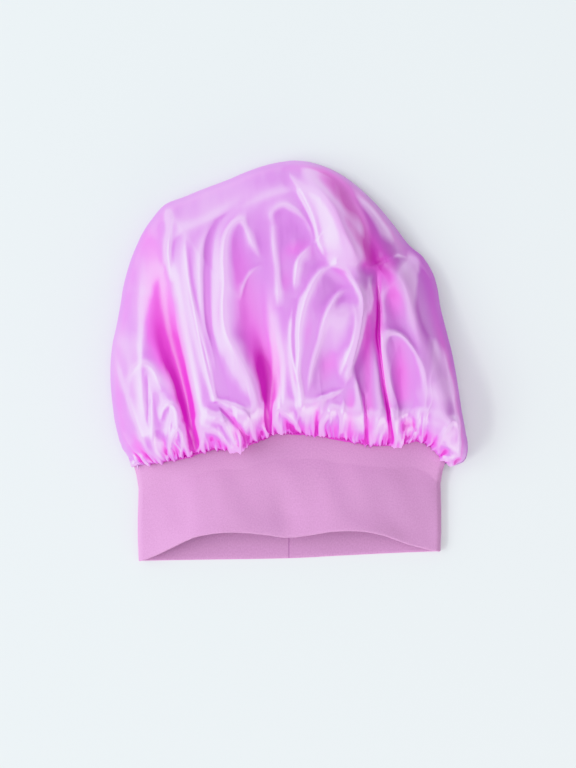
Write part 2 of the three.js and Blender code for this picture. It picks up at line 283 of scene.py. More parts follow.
# %% Sizes shared with the CAD model
KNIT, PLY_GAP, CLEARANCE = 1.0 * MM, 0.3 * MM, 0.3 * MM
WALL = 2 * KNIT + PLY_GAP
FOLD_RADIUS = 3.2 * MM
MOUTH_WIDTH, SEAM_WIDTH, WAIST_INSET = 251 * MM, 259 * MM, 3 * MM
MOUTH_LIFT, SEAM_LIFT = 15 * MM, 9 * MM
MOUTH_RISE = 23 * MM
FOLD_POINTS = 9
# How far the sides are drawn in at the waist, at heights from the mouth to the seam, as shares.
WAIST_HEIGHTS, WAIST_SHARES = [0, 0.2, 0.45, 0.75, 0.9, 1], [0, 0.1, 0.4, 1, 0.6, 0]
TURN_START, TURN_DEPTH = 0.75, 3.1 * MM
ALLOWANCE = 7 * MM
BAND_X = 0.6 * MM

seam_px = [
    (134, 465), (150, 463.5), (164, 461), (177, 459.5), (189, 457), (202, 452.5), (215, 449), (228, 449), (240, 448),
    (253, 443.5), (266, 438), (277, 433.5), (288, 433.5), (299, 434.5), (308, 434), (318, 435), (330, 438), (344, 441),
    (355, 442), (366, 444), (382, 445), (398, 445.5), (408, 443), (417, 441), (427, 444.5), (434, 450), (440, 457),
    (445, 462),
]
back_seam_px = [(134, 465), (200, 450), (290, 442), (370, 447), (445, 462)]
mouth_px = [
    (142, 561), (157, 555.4), (174, 547), (189, 539.5), (202, 534.4), (225, 530.7), (247, 530.7), (270, 533),
    (290.7, 535.8), (314.6, 533), (337, 529.6), (365, 529.6), (387.5, 534.4), (410, 542.8), (429.6, 548.4),
    (443, 551.4),
]
back_mouth_px = [(142, 561), (200, 560), (290, 558.5), (340, 556), (400, 553), (443, 551.4)]


def height_along(trace_px):
    """A traced edge of the band, as its y at each share of the way across."""
    line = on_table(smooth_line(trace_px, 200))
    across = (line[:, 0] - line[0, 0]) / (line[-1, 0] - line[0, 0])
    return lambda share: np.interp(share, across, line[:, 1])


seam_y = {"front": height_along(seam_px), "back": height_along(back_seam_px)}
mouth_y = {"front": height_along(mouth_px), "back": height_along(back_mouth_px)}
print("seam's rise at the middle, mm:", round(float(seam_y["front"](0.5) - seam_y["front"](0)) / MM, 1))


# %% Round the wall
def mouth_open(share):
    """How far open the mouth's front stands, from 0 at the sides to 1, with a dip at the centre."""
    drawn = mouth_y["front"](share) - mouth_y["back"](share)
    return np.clip(drawn / MOUTH_RISE, 0, 1.05)


def round_stations(count):
    """The way round the wall from the left fold: over the front to the right fold, and back behind. Each station is a
    share across and a side, 1 for the front and -1 for the back."""
    turn = (1 - np.cos(np.linspace(0, np.pi / 2, FOLD_POINTS))) * FOLD_RADIUS / SEAM_WIDTH
    flat = np.linspace(turn[-1], 1 - turn[-1], count)[1:-1]
    share = np.concatenate([turn, flat, 1 - turn[::-1]])
    return np.concatenate([share, share[-2:0:-1]]), np.concatenate([np.ones(len(share)), -np.ones(len(share) - 2)])


def wall_loop(share, side, height):
    """The middle of the wall at a height share, as x and z, and the way out from it."""
    waist = np.interp(height, WAIST_HEIGHTS, WAIST_SHARES)
    width = MOUTH_WIDTH + (SEAM_WIDTH - MOUTH_WIDTH) * height - 2 * WAIST_INSET * waist
    x = share * width
    from_fold = np.minimum(x, width - x)
    half = np.sqrt(np.clip(FOLD_RADIUS**2 - (FOLD_RADIUS - from_fold).clip(0) ** 2, 0, None))
    front = MOUTH_LIFT * mouth_open(share) * (1 - height) + SEAM_LIFT * np.sin(np.pi * share).clip(0) ** 0.7 * height
    stand = np.where(side > 0, front * smoothstep(from_fold / FOLD_RADIUS), 0)
    lift = TURN_DEPTH * np.clip((height - TURN_START) / (1 - TURN_START), 0, None)
    z = WALL / 2 + lift + FOLD_RADIUS + side * half + stand
    x = x - width / 2 + BAND_X
    dx, dz = np.roll(x, -1) - np.roll(x, 1), np.roll(z, -1) - np.roll(z, 1)
    length = np.hypot(dx, dz)
    return x, z, -dz / length, dx / length


def wall_point(share, side, height, off, up=0.0):
    """Points round the wall, off its middle, with a distance up the bonnet added."""
    x, z, out_x, out_z = wall_loop(share, side, height)
    low = np.where(side > 0, mouth_y["front"](share), mouth_y["back"](share))
    high = np.where(side > 0, seam_y["front"](share), seam_y["back"](share))
    return np.stack([x + off * out_x, low + (high - low) * height + up, z + off * out_z], -1)


seam_ring = wall_point(*round_stations(40), 1.0, WALL / 2)
print("round the seam, mm:", round(float(length_along(np.vstack([seam_ring, seam_ring[:1]]))[-1]) / MM))

# %% [markdown]
# ## The crown's ground shape
#
# The crown is a bag: a front over a back, closed along the outline and open at the seam. Columns run from the seam to
# the outline the way the gathers run. The front first rises as a smooth dome, rounded along the outline and along the
# seam. Its folds are added to that afterwards, so each fold can be traced where the photograph shows it.

# %% Outline and columns
SATIN = 0.3 * MM
TURN_RADIUS = 1.4 * MM
EDGE_HEIGHT, EDGE_ROLL, SEAM_ROUND = 8 * MM, 4 * MM, 30 * MM
EDGE_BEND, SEAM_BEND = 6 * MM, 3 * MM
RIM_RISE, RIM_WIDTH, DOME_RISE, DOME_WIDTH = 13 * MM, 29 * MM, 19 * MM, 105 * MM
COLUMNS, FRONT_ROWS, BACK_ROWS = ((600, 280, 44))

outline_px = [
    (129, 458), (121, 446), (115, 425), (112, 405), (110, 383), (110, 362), (112, 343), (116, 325), (120, 303),
    (123, 285), (129, 263), (136, 245), (144, 229), (154, 215), (162, 206), (170, 201), (184, 196), (201, 189),
    (225, 180), (249, 170), (269, 163.5), (289, 160), (301, 160), (313, 162), (329, 167.5), (345, 176), (361, 188.5),
    (377, 204), (393, 223), (409, 244), (423, 256), (433, 272), (438, 288), (441, 307), (447, 331), (453, 355),
    (458, 383), (462, 410), (465.5, 428), (468, 445), (467, 456), (463, 462), (455, 463.5),
]
outline = on_table(smooth_line(outline_px, 1200))

# Where a column starts along the seam and where it ends along the outline, as shares of each.
column_ends = np.array([
    (0, 0), (0.1, 0.12), (0.2, 0.24), (0.27, 0.33), (0.39, 0.42), (0.5, 0.48), (0.6, 0.53), (0.7, 0.58), (0.83, 0.66),
    (0.92, 0.8), (1, 1),
])
CORNER_REACH = COLUMNS // 20


def smooth_list(values, reach):
    """A list of numbers with its corners rounded."""
    kernel = np.hanning(2 * reach + 1)
    padded = np.concatenate([2 * values[0] - values[reach:0:-1], values, 2 * values[-1] - values[-2:-reach - 2:-1]])
    return np.convolve(padded, kernel / kernel.sum(), "valid")


seam_share, outline_share = (
    smooth_list(np.interp(np.linspace(0, 1, COLUMNS), column_ends.mean(1), ends), CORNER_REACH).clip(0, 1)
    for ends in column_ends.T)
top = np.stack([np.interp(outline_share, np.linspace(0, 1, len(outline)), outline[:, k]) for k in (0, 1)], -1)
print("outline, mm:", round(float(length_along(outline)[-1]) / MM))


# %% Distances
BATCH = 20000


def nearest(points, line):
    """For each point, its signed distance from a line and how far along the line's length it is. Left of a line that
    runs down the photograph is positive."""
    signed, along = np.empty(len(points)), np.empty(len(points))
    start, step = line[:-1], np.diff(line, axis=0)
    length = np.linalg.norm(step, axis=1)
    reached = np.concatenate([[0], np.cumsum(length)])
    for first in range(0, len(points), BATCH):
        batch = slice(first, first + BATCH)
        p = points[batch, None] - start
        t = (np.einsum("ijk,jk->ij", p, step) / (length**2 + 1e-18)).clip(0, 1)
        off = p - t[..., None] * step
        distance = np.linalg.norm(off, axis=2)
        k = distance.argmin(1)
        row = np.arange(len(p))
        cross = step[k, 1] * off[row, k, 0] - step[k, 0] * off[row, k, 1]
        signed[batch] = np.sign(cross) * distance[row, k]
        along[batch] = (reached[k] + t[row, k] * length[k]) / reached[-1]
    return signed, along


def distance_from(line, plan):
    """How far each place of a grid is from a line."""
    return np.abs(nearest(plan.reshape(-1, 2), line)[0]).reshape(plan.shape[:2])


def quarter_round(x):
    """Rises from 0 to 1 as the first quarter of a circle."""
    return np.sqrt(1 - (1 - np.clip(x, 0, 1)) ** 2)


def even_slope(x, turn):
    """Rises at an even slope and rounds off to 1, the later the higher turn is."""
    x = np.clip(x, 0, 1)
    return (x - x ** (turn + 1) / (turn + 1)) * (turn + 1) / turn


def dome(to_edge, to_seam):
    """The height of the smooth front over the line from the seam to the outline."""
    roll = EDGE_ROLL * quarter_round(to_edge / EDGE_BEND) * quarter_round(to_seam / SEAM_BEND)
    puff = RIM_RISE * even_slope(to_edge / RIM_WIDTH, 5) + DOME_RISE * even_slope(to_edge / DOME_WIDTH, 1.5)
    return roll + puff * even_slope(to_seam / SEAM_ROUND, 1.5)


# %% From the seam to the outline
def ring_rows(side):
    """The crown's edge at the seam: the allowance inside, then the turn, which ends where the dome starts."""
    x, z, out_x, out_z = wall_loop(seam_share, np.full(COLUMNS, side), 1.0)
    y = seam_y["front" if side > 0 else "back"](seam_share)
    rows = []
    turns = [(0, up) for up in (ALLOWANCE, ALLOWANCE / 2, 0)]
    turns += [(TURN_RADIUS * (1 - np.cos(a)), -TURN_RADIUS * np.sin(a)) for a in np.radians((30, 60, 90))]
    for off, up in turns:
        off = WALL / 2 + CLEARANCE + off
        rows.append(np.stack([x + off * out_x, y + up, z + off * out_z], -1))
    return np.array(rows)


def evenly(start, rows):
    """Shares from the seam to the outline at which a dome's rows are evenly spaced over its surface."""
    length = np.linalg.norm(top - start[:, :2], axis=1)[:, None]
    fine = (1 - np.cos(np.linspace(0, np.pi, 700))) / 2
    rise = dome((1 - fine) * length, fine * length)
    step = np.hypot(np.diff(fine) * length, np.diff(rise, axis=1))
    reached = np.concatenate([np.zeros((COLUMNS, 1)), np.cumsum(step, axis=1)], 1)
    wanted = np.linspace(0, 1, rows + 1)[1:, None] * reached[:, -1]
    return np.array([np.interp(wanted[:, i], reached[i], fine) for i in range(COLUMNS)]).T


front_ring = ring_rows(1)
front_share = evenly(front_ring[-1], FRONT_ROWS)
front_plan = front_ring[-1, :, :2] + (top - front_ring[-1, :, :2]) * front_share[..., None]
edge_line = outline[::6]
to_edge = distance_from(edge_line, front_plan)
to_seam = distance_from(front_ring[-1, ::4, :2], front_plan)
line_height = front_ring[-1, :, 2] + (EDGE_HEIGHT - front_ring[-1, :, 2]) * front_share
ground = line_height + dome(to_edge, to_seam)
print("dome's top, mm:", round(float(ground.max()) / MM, 1))

# %% [markdown]
# ## The folds
#
# Satin holds its folds as soft ridges with narrow crests. Each one is a line traced in the photograph, with the
# height of its crest and the width of each flank: a steep flank beside a gentle one gives the light its sharp side. A
# valley is a fold with a negative height. Cloth simulation would fold the bag some other way each time its size
# changed, so the folds are drawn instead, and only the small gathers come from a rule.

# %% Folds
ROUND, SHARP, FLAT = "round", "sharp", "flat"
folds = []


def fold(path, rise, left, right, form=ROUND):
    """Adds a fold along a path in pixels, its rise in mm, its flanks in pixels. Lists hold values along the path."""
    folds.append((path, *(np.atleast_1d(values) for values in (rise, left, right)), form))


def crest(path, rise, left, right):
    """A fold with a sharp crest."""
    fold(path, rise, left, right, SHARP)


def face(path, rise, left, right):
    """A fold with flat faces, like a tent."""
    fold(path, rise, left, right, FLAT)


# The left puff, and the deep valley that divides it from the flat panel.
fold([(152, 238), (143, 285), (139, 325), (139, 365), (144, 405), (158, 448)], [0, 1.5, 2, 2.5, 3, 1], 18, 12)
fold([(156, 236), (164, 290), (171, 333), (181, 370), (189, 402), (194, 430), (198, 452)], [0, -5, -8, -9, -10, -9, -5],
     [12, 22, 27, 17, 9, 6, 4.5], [8, 9, 10, 9, 7, 6, 4.5])
crest([(159, 203), (169, 214), (171, 230), (170, 250), (172, 285)], [0, 2.5, 2.5, 2, 0], 7, 3)
fold([(173, 225), (178, 290), (187, 350), (197, 392), (204, 440)], [0, 0.2, 0.4, 0.8, 0.8], 3.5, 30)
crest([(113, 349), (122, 376), (132, 404), (141, 427), (150, 449), (160, 460)], [0, 1.4, 1.8, 2, 2, 1], 5, 4)
crest([(129, 395), (130, 380), (137, 368), (148, 364), (157, 372), (165, 392)], [0, 1.2, 1.4, 1.4, 1.4, 0], 4, 4)
crest([(150, 374), (151, 400), (152, 427)], [0, -1.6, 0], 2.5, 2.5)

# The flat panel with its double crease, down to the star where the creases meet.
crest([(187, 233), (188, 258), (192, 290), (199, 327), (207, 363), (216, 398)], [0, 1.1, 1.3, 1.4, 1.4, 1], 2.4, 2)
crest([(191, 285), (196, 306), (203, 332), (211, 362), (218, 399)], [0, 0.9, 1.1, 1.1, 0.8], 1.8, 2.4)
crest([(216, 222), (206, 240), (203, 258), (203, 285), (206, 323), (214, 353), (221, 390)], [0, 1, 1.6, 1.8, 1.6, 1.2,
     0], 4.5, 3.2)

# The long ridge left of the middle, rounded over at its top, and the dark line round it.
fold([(266, 197), (254, 200), (236, 211), (223, 223), (216, 236), (212, 256), (211, 290), (214, 325), (220, 352)], [0,
     -1.2, -2, -2, -2, -1.8, -1.6, -1.4, 0], 4.5, 4.5)
fold([(244, 218), (236, 227), (229, 242), (227, 262), (228, 285), (227, 312), (231, 336), (242, 358), (254, 384),
     (260, 412)], [1, 2.2, 2.8, 3.2, 3.8, 4.8, 6, 6, 4.5, 1], [6, 6, 6, 6, 7, 10, 13, 12, 9, 5], [6, 7, 10, 14, 18, 22,
     24, 18, 10, 6])
fold([(243, 224), (249, 234), (255, 248), (261, 262)], [0.5, 1.6, 1.2, 0], 5, 5)
crest([(262, 264), (256, 251), (249, 234), (242, 222), (232, 227), (226, 240), (224, 260), (225, 285), (224, 310),
     (227, 332), (238, 354), (250, 380), (258, 405)], [0, 0.8, 1.1, 1.2, 1.1, 1, 1, 1, 0.9, 0.8, 0.8, 0.8, 0], 2.8, 3.2)
crest([(263, 266), (252, 274), (245, 286), (241, 303)], [0, 0.9, 0.9, 0], 2.4, 2.4)

# The valley in the middle, deepest low down.
fold([(262, 262), (260, 290), (264, 330), (270, 368), (269, 402), (267, 432)], [0, -2.5, -6, -8, -8.5, -5], [12, 17, 26,
     20, 9, 5], [12, 12, 12, 10, 7, 4])
crest([(273, 214), (274, 231), (275, 245), (276, 257), (278, 272), (279, 287), (280, 310)], [0, 1, 1.3, 1.4, 1.4, 1.3,
     0], 3.5, 5)

# The small arch right of it, whose end makes a cusp.
crest([(272, 228), (273, 215), (283, 208), (295, 213), (304, 221), (310, 231), (314, 244)], [0, 1, 1.4, 1.6, 1.6, 1.4,
     0.6], 4, 5)
fold([(288, 226), (298, 232), (304, 240)], [0, -1.2, 0], 9, 7)
crest([(313, 246), (306, 254), (300, 261), (297, 271), (294, 300)], [0.6, 1.4, 1.6, 1.2, 0], 2.5, 8)
fold([(284, 254), (287, 275), (287, 300)], [0, -1.5, 0], 8, 7)

# The shoulder that comes down from the top: a wide pale face with a sharp upper edge.
crest([(289, 168), (291, 178), (298, 188), (303, 198), (309, 211), (314, 224), (317, 236), (319, 246), (326, 260)], [0,
     1.4, 1.8, 1.8, 1.8, 1.6, 1.4, 1.2, 0], 2.5, 5)
face([(303, 161), (310, 177), (319, 192), (328, 206), (336, 222), (344, 240), (354, 255), (366, 268)], [0, 6, 10, 13,
     15, 16, 13, 3], [12, 17, 20, 21, 23, 27, 28, 18], [12, 18, 22, 24, 26, 26, 18, 9])
fold([(352, 188), (370, 209), (385, 232), (396, 250)], [0, 4, 4, 1], 11, 6)

# The crease across the right side, and the folds that hang from it.
crest([(391, 258), (380, 263), (367, 269)], [-0.6, -1.2, -0.8], 1.6, 1.6)
crest([(408, 259), (398, 257), (388, 259)], [0, 0.9, 0.4], 1.6, 2)
fold([(350, 262), (357, 276), (364, 294)], [2, 3, 1.5], 8, 7)
fold([(388, 242), (394, 260), (402, 276), (410, 298), (421, 326), (436, 356)], [0, 1, 2, 3, 3, 1], 15, 12)
fold([(386, 280), (391, 304), (396, 325)], [0, -2, 0], 9, 9)
crest([(376, 269), (376, 296), (377, 317), (376, 337), (378, 354), (380, 370), (382, 387), (385, 405), (391, 440)], [0,
     -2.6, -3.4, -3.4, -3.6, -4, -4.4, -4.6, -3], 3, 2)
crest([(368, 281), (368, 300), (367, 318)], [0.6, 1.6, 0], 2.5, 2.5)
crest([(404, 249), (414, 266), (424, 280)], [0, 0.7, 0], 3, 3.5)
crest([(415, 257), (424, 269), (431, 279)], [0, 0.7, 0], 3, 3.5)

# The leaf-shaped fold right of the middle.
fold([(337, 268), (323, 277), (312, 295), (305, 315), (302, 333), (302, 353), (301, 378), (304, 402), (305, 432)], [0,
     2, 3, 3.5, 3.5, 3.5, 3.5, 3, 1.5], [4.2, 5.6, 6.3, 6.3, 5.6, 5.6, 4.9, 4.2, 3.5], [10, 20, 26, 28, 26, 22, 16, 10,
     6])
crest([(335, 266), (320, 275), (309, 293), (302, 313), (299, 332), (299, 352), (298, 378), (301, 400), (302, 430)],
     [0.8, 1.3, 1.5, 1.5, 1.5, 1.5, 1.5, 1.3, 0], 3, 3)
crest([(294, 300), (291, 337), (293, 362), (299, 387), (302, 402)], [0, 1.1, 1.3, 1.1, 0], 2.5, 2.5)
crest([(351, 288), (338, 296), (330, 308), (323, 327), (318, 345), (312, 364), (309, 379), (307, 396)], [0, 1.2, 1.5,
     1.5, 1.5, 1.5, 1.2, 0], 3, 4)
fold([(344, 300), (336, 318), (330, 338)], [0, 1.5, 0], 9, 9)
fold([(338, 268), (347, 275), (356, 287), (362, 300), (362, 314), (359, 332), (355, 350), (349, 370), (343, 390)], [1,
     2.4, 4, 6, 6.5, 6, 5, 3, 0], [12, 16, 20, 26, 30, 26, 18, 12, 8], [7, 8, 8, 8, 7, 6, 5, 5, 5])
crest([(336, 266), (346, 274), (354, 286), (360, 298), (361, 312), (359, 329), (356, 343), (352, 357), (348, 371),
     (343, 388)], [1, 1.4, 1.6, 1.8, 1.8, 1.8, 1.8, 1.6, 1.4, 0], 3.5, 3)
crest([(351, 303), (355, 322), (352, 343), (345, 361), (338, 378)], [0, 0.9, 1, 1, 0], 2.5, 2.5)
fold([(331, 344), (329, 362), (322, 382)], [0, -1.6, 0], 8, 8)
crest([(308, 405), (320, 399), (333, 394), (342, 389)], [0, 2, 2.2, 0.6], 3, 3)
fold([(367, 310), (367, 345), (367, 380), (371, 425)], [0, -1, -1.6, -1.6], 6, 6)
crest([(352, 366), (356, 390), (361, 412), (363, 426)], [0, 2.2, 2.6, 1.6], 7, 2)

# The arch at the right, and the puff that hangs past the band's side.
crest([(384, 440), (383, 405), (381, 370), (380, 350), (385, 336), (393, 334), (401, 338), (410, 349), (418, 364),
     (422, 380), (423, 400), (419, 430)], [0, 1, 1.2, 1.4, 1.6, 1.7, 1.7, 1.7, 1.7, 1.6, 1.2, 0], 4, 4)
fold([(396, 348), (398, 370), (400, 398), (402, 422)], [0, -2, -2.5, -1.5], 9, 10)
fold([(424, 372), (426, 400), (431, 430)], [0, -1.5, 0], 5, 6)
fold([(424, 330), (440, 360), (450, 392), (456, 425), (458, 448)], [1, 8, 16, 17, 8], [16, 22, 26, 26, 18], [10, 10, 9,
     9, 8])

main_folds, folds = folds, []

# The next three sets of strokes change no shape. They are painted light and shade, placed where the photograph's
# satin is deeper, paler or duller than the lights here make it, so a part of that one picture's light is fixed
# on the cloth in every view. The first set is painted shade: it deepens the pink, mostly where folds stand close
# together and light bounces between them. It adds to the painted shade worked out from the heights further on:
# the rise is how deep the colour gets, from 0 to 1.
fold([(152, 240), (157, 272), (161, 310), (168, 345), (179, 378), (188, 405), (193, 436), (195, 456)], [0.4, 0.65, 0.8,
     0.85, 0.95, 1, 1, 0.8], [15, 18, 20, 18, 12, 8, 6, 4], [12, 14, 17, 16, 12, 9, 8, 6])
fold([(183, 318), (186, 350), (192, 382)], [0.2, 0.5, 0.2], 7, 7)
fold([(233, 238), (236, 258), (240, 288), (248, 320), (261, 350), (268, 382), (269, 406), (268, 428)], [0.2, 0.4, 0.45,
     0.45, 0.5, 0.85, 0.9, 0.6], [3, 5, 8, 15, 18, 13, 8, 4], [12, 18, 22, 20, 14, 8, 6, 5])
fold([(284, 258), (294, 252), (304, 249)], [0.2, 0.5, 0.2], 9, 8)
fold([(286, 268), (286, 284), (285, 300)], [0.1, 0.3, 0.1], 6, 6)
fold([(326, 178), (338, 200), (350, 224), (360, 243), (371, 260)], [0.5, 0.85, 1, 1, 1], 14, 18)
fold([(377, 272), (377, 306), (376, 336), (380, 370), (385, 400), (391, 436)], [0.3, 0.6, 0.6, 0.6, 0.7, 0.6], 3, 3)
fold([(367, 292), (366, 330), (366, 370), (367, 400), (370, 436)], [0.3, 0.5, 0.55, 0.5, 0.5], 6, 5)
fold([(349, 392), (349, 412), (350, 432)], [0.3, 0.7, 0.6], 6, 5)
fold([(310, 305), (307, 335), (305, 360)], [0.1, 0.3, 0.1], 6, 6)
fold([(331, 346), (328, 364), (322, 384)], [0, 0.4, 0.1], 7, 7)
fold([(386, 272), (391, 298), (395, 322)], [0.5, 0.75, 0.2], 8, 11)
fold([(397, 346), (399, 372), (400, 396)], [0.4, 0.7, 0.5], 8, 8)
fold([(314, 402), (317, 412), (316, 428)], [0.5, 0.7, 0.4], 4, 4)
fold([(236, 420), (240, 432), (243, 440)], [0.2, 0.6, 0.4], 8, 6)
fold([(138, 428), (139, 442), (143, 456)], [0, 0.45, 0.3], 6, 6)
painted_fold_shade_strokes, folds = folds, []

# The second set is a painted highlight: it makes the satin paler. The rise is how pale, from 0 to 1.
fold([(345, 296), (338, 320), (330, 345), (322, 375)], [0.5, 0.9, 0.8, 0.5], [14, 16, 14, 10], [10, 14, 14, 12])
fold([(412, 320), (432, 360), (440, 395), (440, 430)], [0.2, 0.8, 0.9, 0.6], [10, 16, 20, 14], [8, 12, 14, 12])
fold([(304, 188), (318, 212), (330, 240), (338, 262)], [0.3, 0.7, 0.8, 0.6], [12, 14, 16, 12], [11, 12, 12, 10])
fold([(350, 262), (361, 276), (366, 292)], [0.5, 0.9, 0.5], 10, 6)
fold([(396, 258), (404, 268), (410, 280)], [0.4, 0.7, 0.3], 8, 8)
fold([(170, 222), (205, 206), (245, 188)], [0.3, 0.5, 0.3], 16, 18)
fold([(118, 330), (126, 365), (140, 405)], [0.3, 0.7, 0.5], 16, 12)
fold([(310, 262), (306, 285), (300, 320)], [0.3, 0.4, 0.2], 8, 8)
fold([(236, 366), (246, 388), (254, 410)], [0.3, 0.6, 0.4], 9, 8)
fold([(352, 192), (372, 214), (388, 240), (396, 254)], [0.3, 0.6, 0.7, 0.4], 6, 5)
painted_sheen_strokes, folds = folds, []

# The third is painted shade: it takes sheen away near the right rim by thinning the coat. The rise is how much.
fold([(340, 164), (374, 190), (404, 228), (420, 260), (432, 296), (440, 330), (448, 364), (456, 400), (464, 440)], [0.4,
     1, 1, 1, 1, 1, 0.9, 0.8, 0.5], [7, 7, 8, 12, 15, 15, 10, 7, 5], 40)
painted_rim_shade_strokes, folds = folds, []

# The gathers over the seam's left third: long narrow ones, and two loops.
crest([(154, 395), (155, 419), (157, 447), (165, 460)], [0.4, 1.5, 2, 1.4], 3.5, 3)
crest([(163, 422), (166, 409), (173, 404), (179, 411), (180, 428)], [0, 1.5, 1.9, 1.7, 0.6], 3, 3)
crest([(174, 413), (172, 429), (170, 445)], [0, 1.3, 1], 2.5, 2.5)
crest([(169, 460), (173, 440), (178, 429), (181, 427), (184, 432), (184, 446), (181, 459)], [1.7, 2, 2.2, 2.2, 2.2, 2,
     1.7], 2.2, 2.2)
crest([(185, 436), (188, 449), (190, 456)], [0, 1.6, 1.8], 2, 2)
crest([(195, 444), (193, 454)], [0, 1.4], 2, 2)
crest([(206, 440), (203, 443), (199, 453)], [0, 1.8, 1.4], 2.5, 2)

# The puff under the star, whose tip hides the seam.
fold([(199, 413), (210, 412), (219, 417), (224, 425)], [0, 1.8, 2, 0], 6, 6)
crest([(202, 429), (209, 427), (217, 430), (223, 436), (230, 443), (241, 452)], [0, 1.8, 2.6, 2.8, 2.8, 2.2], 4, 4)
fold([(204, 438), (212, 437), (220, 443)], [0, -1.5, 0], 5, 5)
crest([(219, 400), (232, 404), (244, 410), (251, 420), (254, 434), (253, 441)], [0.8, 2.2, 2.6, 2.6, 2.2, 1.2], 3.5, 3)
crest([(219, 403), (228, 412), (238, 423), (247, 435)], [-0.8, -2.2, -2.6, -1.4], 2.2, 2)
crest([(221, 406), (227, 424), (235, 439), (242, 452)], [0.6, 2.4, 2.8, 2.2], 3, 3)

# The gathers under the middle.
crest([(265, 419), (264, 427), (269, 435)], [0, 1.8, 1.6], 2, 2)
crest([(287, 435), (281, 431), (276, 422), (276, 411), (280, 408), (287, 413), (295, 423), (301, 435)], [1.4, 2, 2.4,
     2.6, 2.8, 2.6, 2.2, 1.4], 3, 3)
crest([(284, 416), (291, 426), (297, 436)], [0, -2.2, -2], 2.5, 2)
crest([(315, 406), (316, 424), (315, 435)], [0, -2.6, -2.4], 3, 2)
crest([(336, 400), (327, 414), (322, 422), (321, 432)], [0, 2.2, 2.4, 1.6], 5, 5)
crest([(341, 392), (342, 410), (341, 432)], [0, 1.6, 1.4], 2.5, 2)
crest([(345, 421), (344, 440)], [0, 1.8], 2, 2)

# The gathers over the right third.
crest([(363, 395), (364, 420), (365, 442)], [-1, -4, -3], 2.5, 2)
crest([(379, 408), (375, 426), (374, 440)], [0, 2, 1.8], 3, 2.5)
crest([(384, 424), (380, 438)], [0, 1.8], 2, 2)
crest([(389, 405), (392, 426), (398, 436), (401, 442)], [0, 2, 2.2, 1.6], 3, 3)
fold([(401, 414), (404, 424), (402, 433)], [0, -2.4, 0], 5, 5)
crest([(410, 424), (414, 435), (409, 443)], [0, 2.2, 2], 2.5, 2.5)
crest([(408, 412), (413, 430)], [0, -1.8], 2, 2)
crest([(418, 405), (416, 426), (419, 440)], [0, 1.8, 1.2], 2.5, 2)
crest([(437, 450), (439, 436), (445, 424), (451, 420), (456, 426), (457, 441), (456, 454)], [1.4, 2, 2.4, 2.6, 2.6, 2.4,
     1.4], 3, 3)
crest([(441, 456), (449, 455), (456, 458)], [1, 1.8, 1], 2, 2)
crest([(452, 461), (458, 458), (463, 455)], [0.6, 1.8, 0.6], 2, 2)

gather_folds = folds


def blurred(values, reach):
    """A grid of numbers, each mixed with its neighbours."""
    half = 5 * reach // 2
    kernel = np.exp(-np.linspace(-2.5, 2.5, 2 * half + 1) ** 2 / 2)
    kernel /= kernel.sum()
    for axis in (0, 1):
        wide = np.pad(values, [(half, half) if k == axis else (0, 0) for k in (0, 1)], "edge")
        values = np.apply_along_axis(lambda line: np.convolve(line, kernel, "valid"), axis, wide)
    return values


CREST_SOFTNESS, RIDGE_SOFTNESS, FOOT_SOFTNESS = 0.35, 0.08, 0.1


def fold_height(strokes):
    """The height of all the folds of a list together, over the front's grid."""
    px = front_plan.reshape(-1, 2) / PIXEL * (1, -1) + CENTRE_PX
    total = np.zeros(len(px))
    for path, rise, left, right, form in strokes:
        line = smooth_line(path, 8 * len(path))
        reach = (3.2 if form == ROUND else 5) * max(left.max(), right.max())
        low, high = line.min(0) - reach, line.max(0) + reach
        inside = np.flatnonzero(((px > low) & (px < high)).all(1))
        signed, along = nearest(px[inside] * (1, -1), line * (1, -1))
        rise, left, right = (np.interp(along, np.linspace(0, 1, len(v)), v) for v in (rise, left, right))
        off = signed / np.where(signed > 0, left, right)
        if form == ROUND:
            shape = np.exp(-(off**2))
        elif form == SHARP:
            shape = np.exp(-(np.sqrt(off**2 + CREST_SOFTNESS**2) - CREST_SOFTNESS))
        else:
            flank = 1 + RIDGE_SOFTNESS - np.sqrt(off**2 + RIDGE_SOFTNESS**2)
            shape = (flank + np.sqrt(flank**2 + FOOT_SOFTNESS**2)) / 2 * smoothstep(2.6 - 2 * np.abs(off))
        total[inside] += MM * rise * shape
    return total.reshape(front_share.shape)


broad = [stroke for stroke in main_folds if stroke[-1] != SHARP]
sharp = [stroke for stroke in main_folds if stroke[-1] == SHARP]
fold_rise = blurred(fold_height(broad), COLUMNS // 120) + fold_height(sharp)
gather_fold_rise = fold_height(gather_folds)
# The three sets of painted shade and painted highlight strokes, as shares from 0 to 1 rather than heights.
glow, sheen, dull = (fold_height(strokes) / MM for strokes in (painted_fold_shade_strokes, painted_sheen_strokes, painted_rim_shade_strokes))
print("folds:", len(main_folds), "from", *(round(float(v) / MM, 1) for v in (fold_rise.min(), fold_rise.max())), "mm")


# %% Gathers
def lattice_noise(a, b, seed):
    """Smooth noise from -1 to 1 that changes once per unit of a and of b."""
    table = np.random.default_rng(seed).uniform(-1, 1, (97, 97))
    i, j = np.floor(a).astype(int), np.floor(b).astype(int)
    u, v = smoothstep(a - i), smoothstep(b - j)
    corner = [[table[(i + k) % 97, (j + m) % 97] for m in (0, 1)] for k in (0, 1)]
    return (1 - u) * ((1 - v) * corner[0][0] + v * corner[0][1]) + u * ((1 - v) * corner[1][0] + v * corner[1][1])


WANDER, SHARP_SHARE, SHARP_RISE, SHARP_WIDTH = 0.35, 0.45, 1.2, 0.3


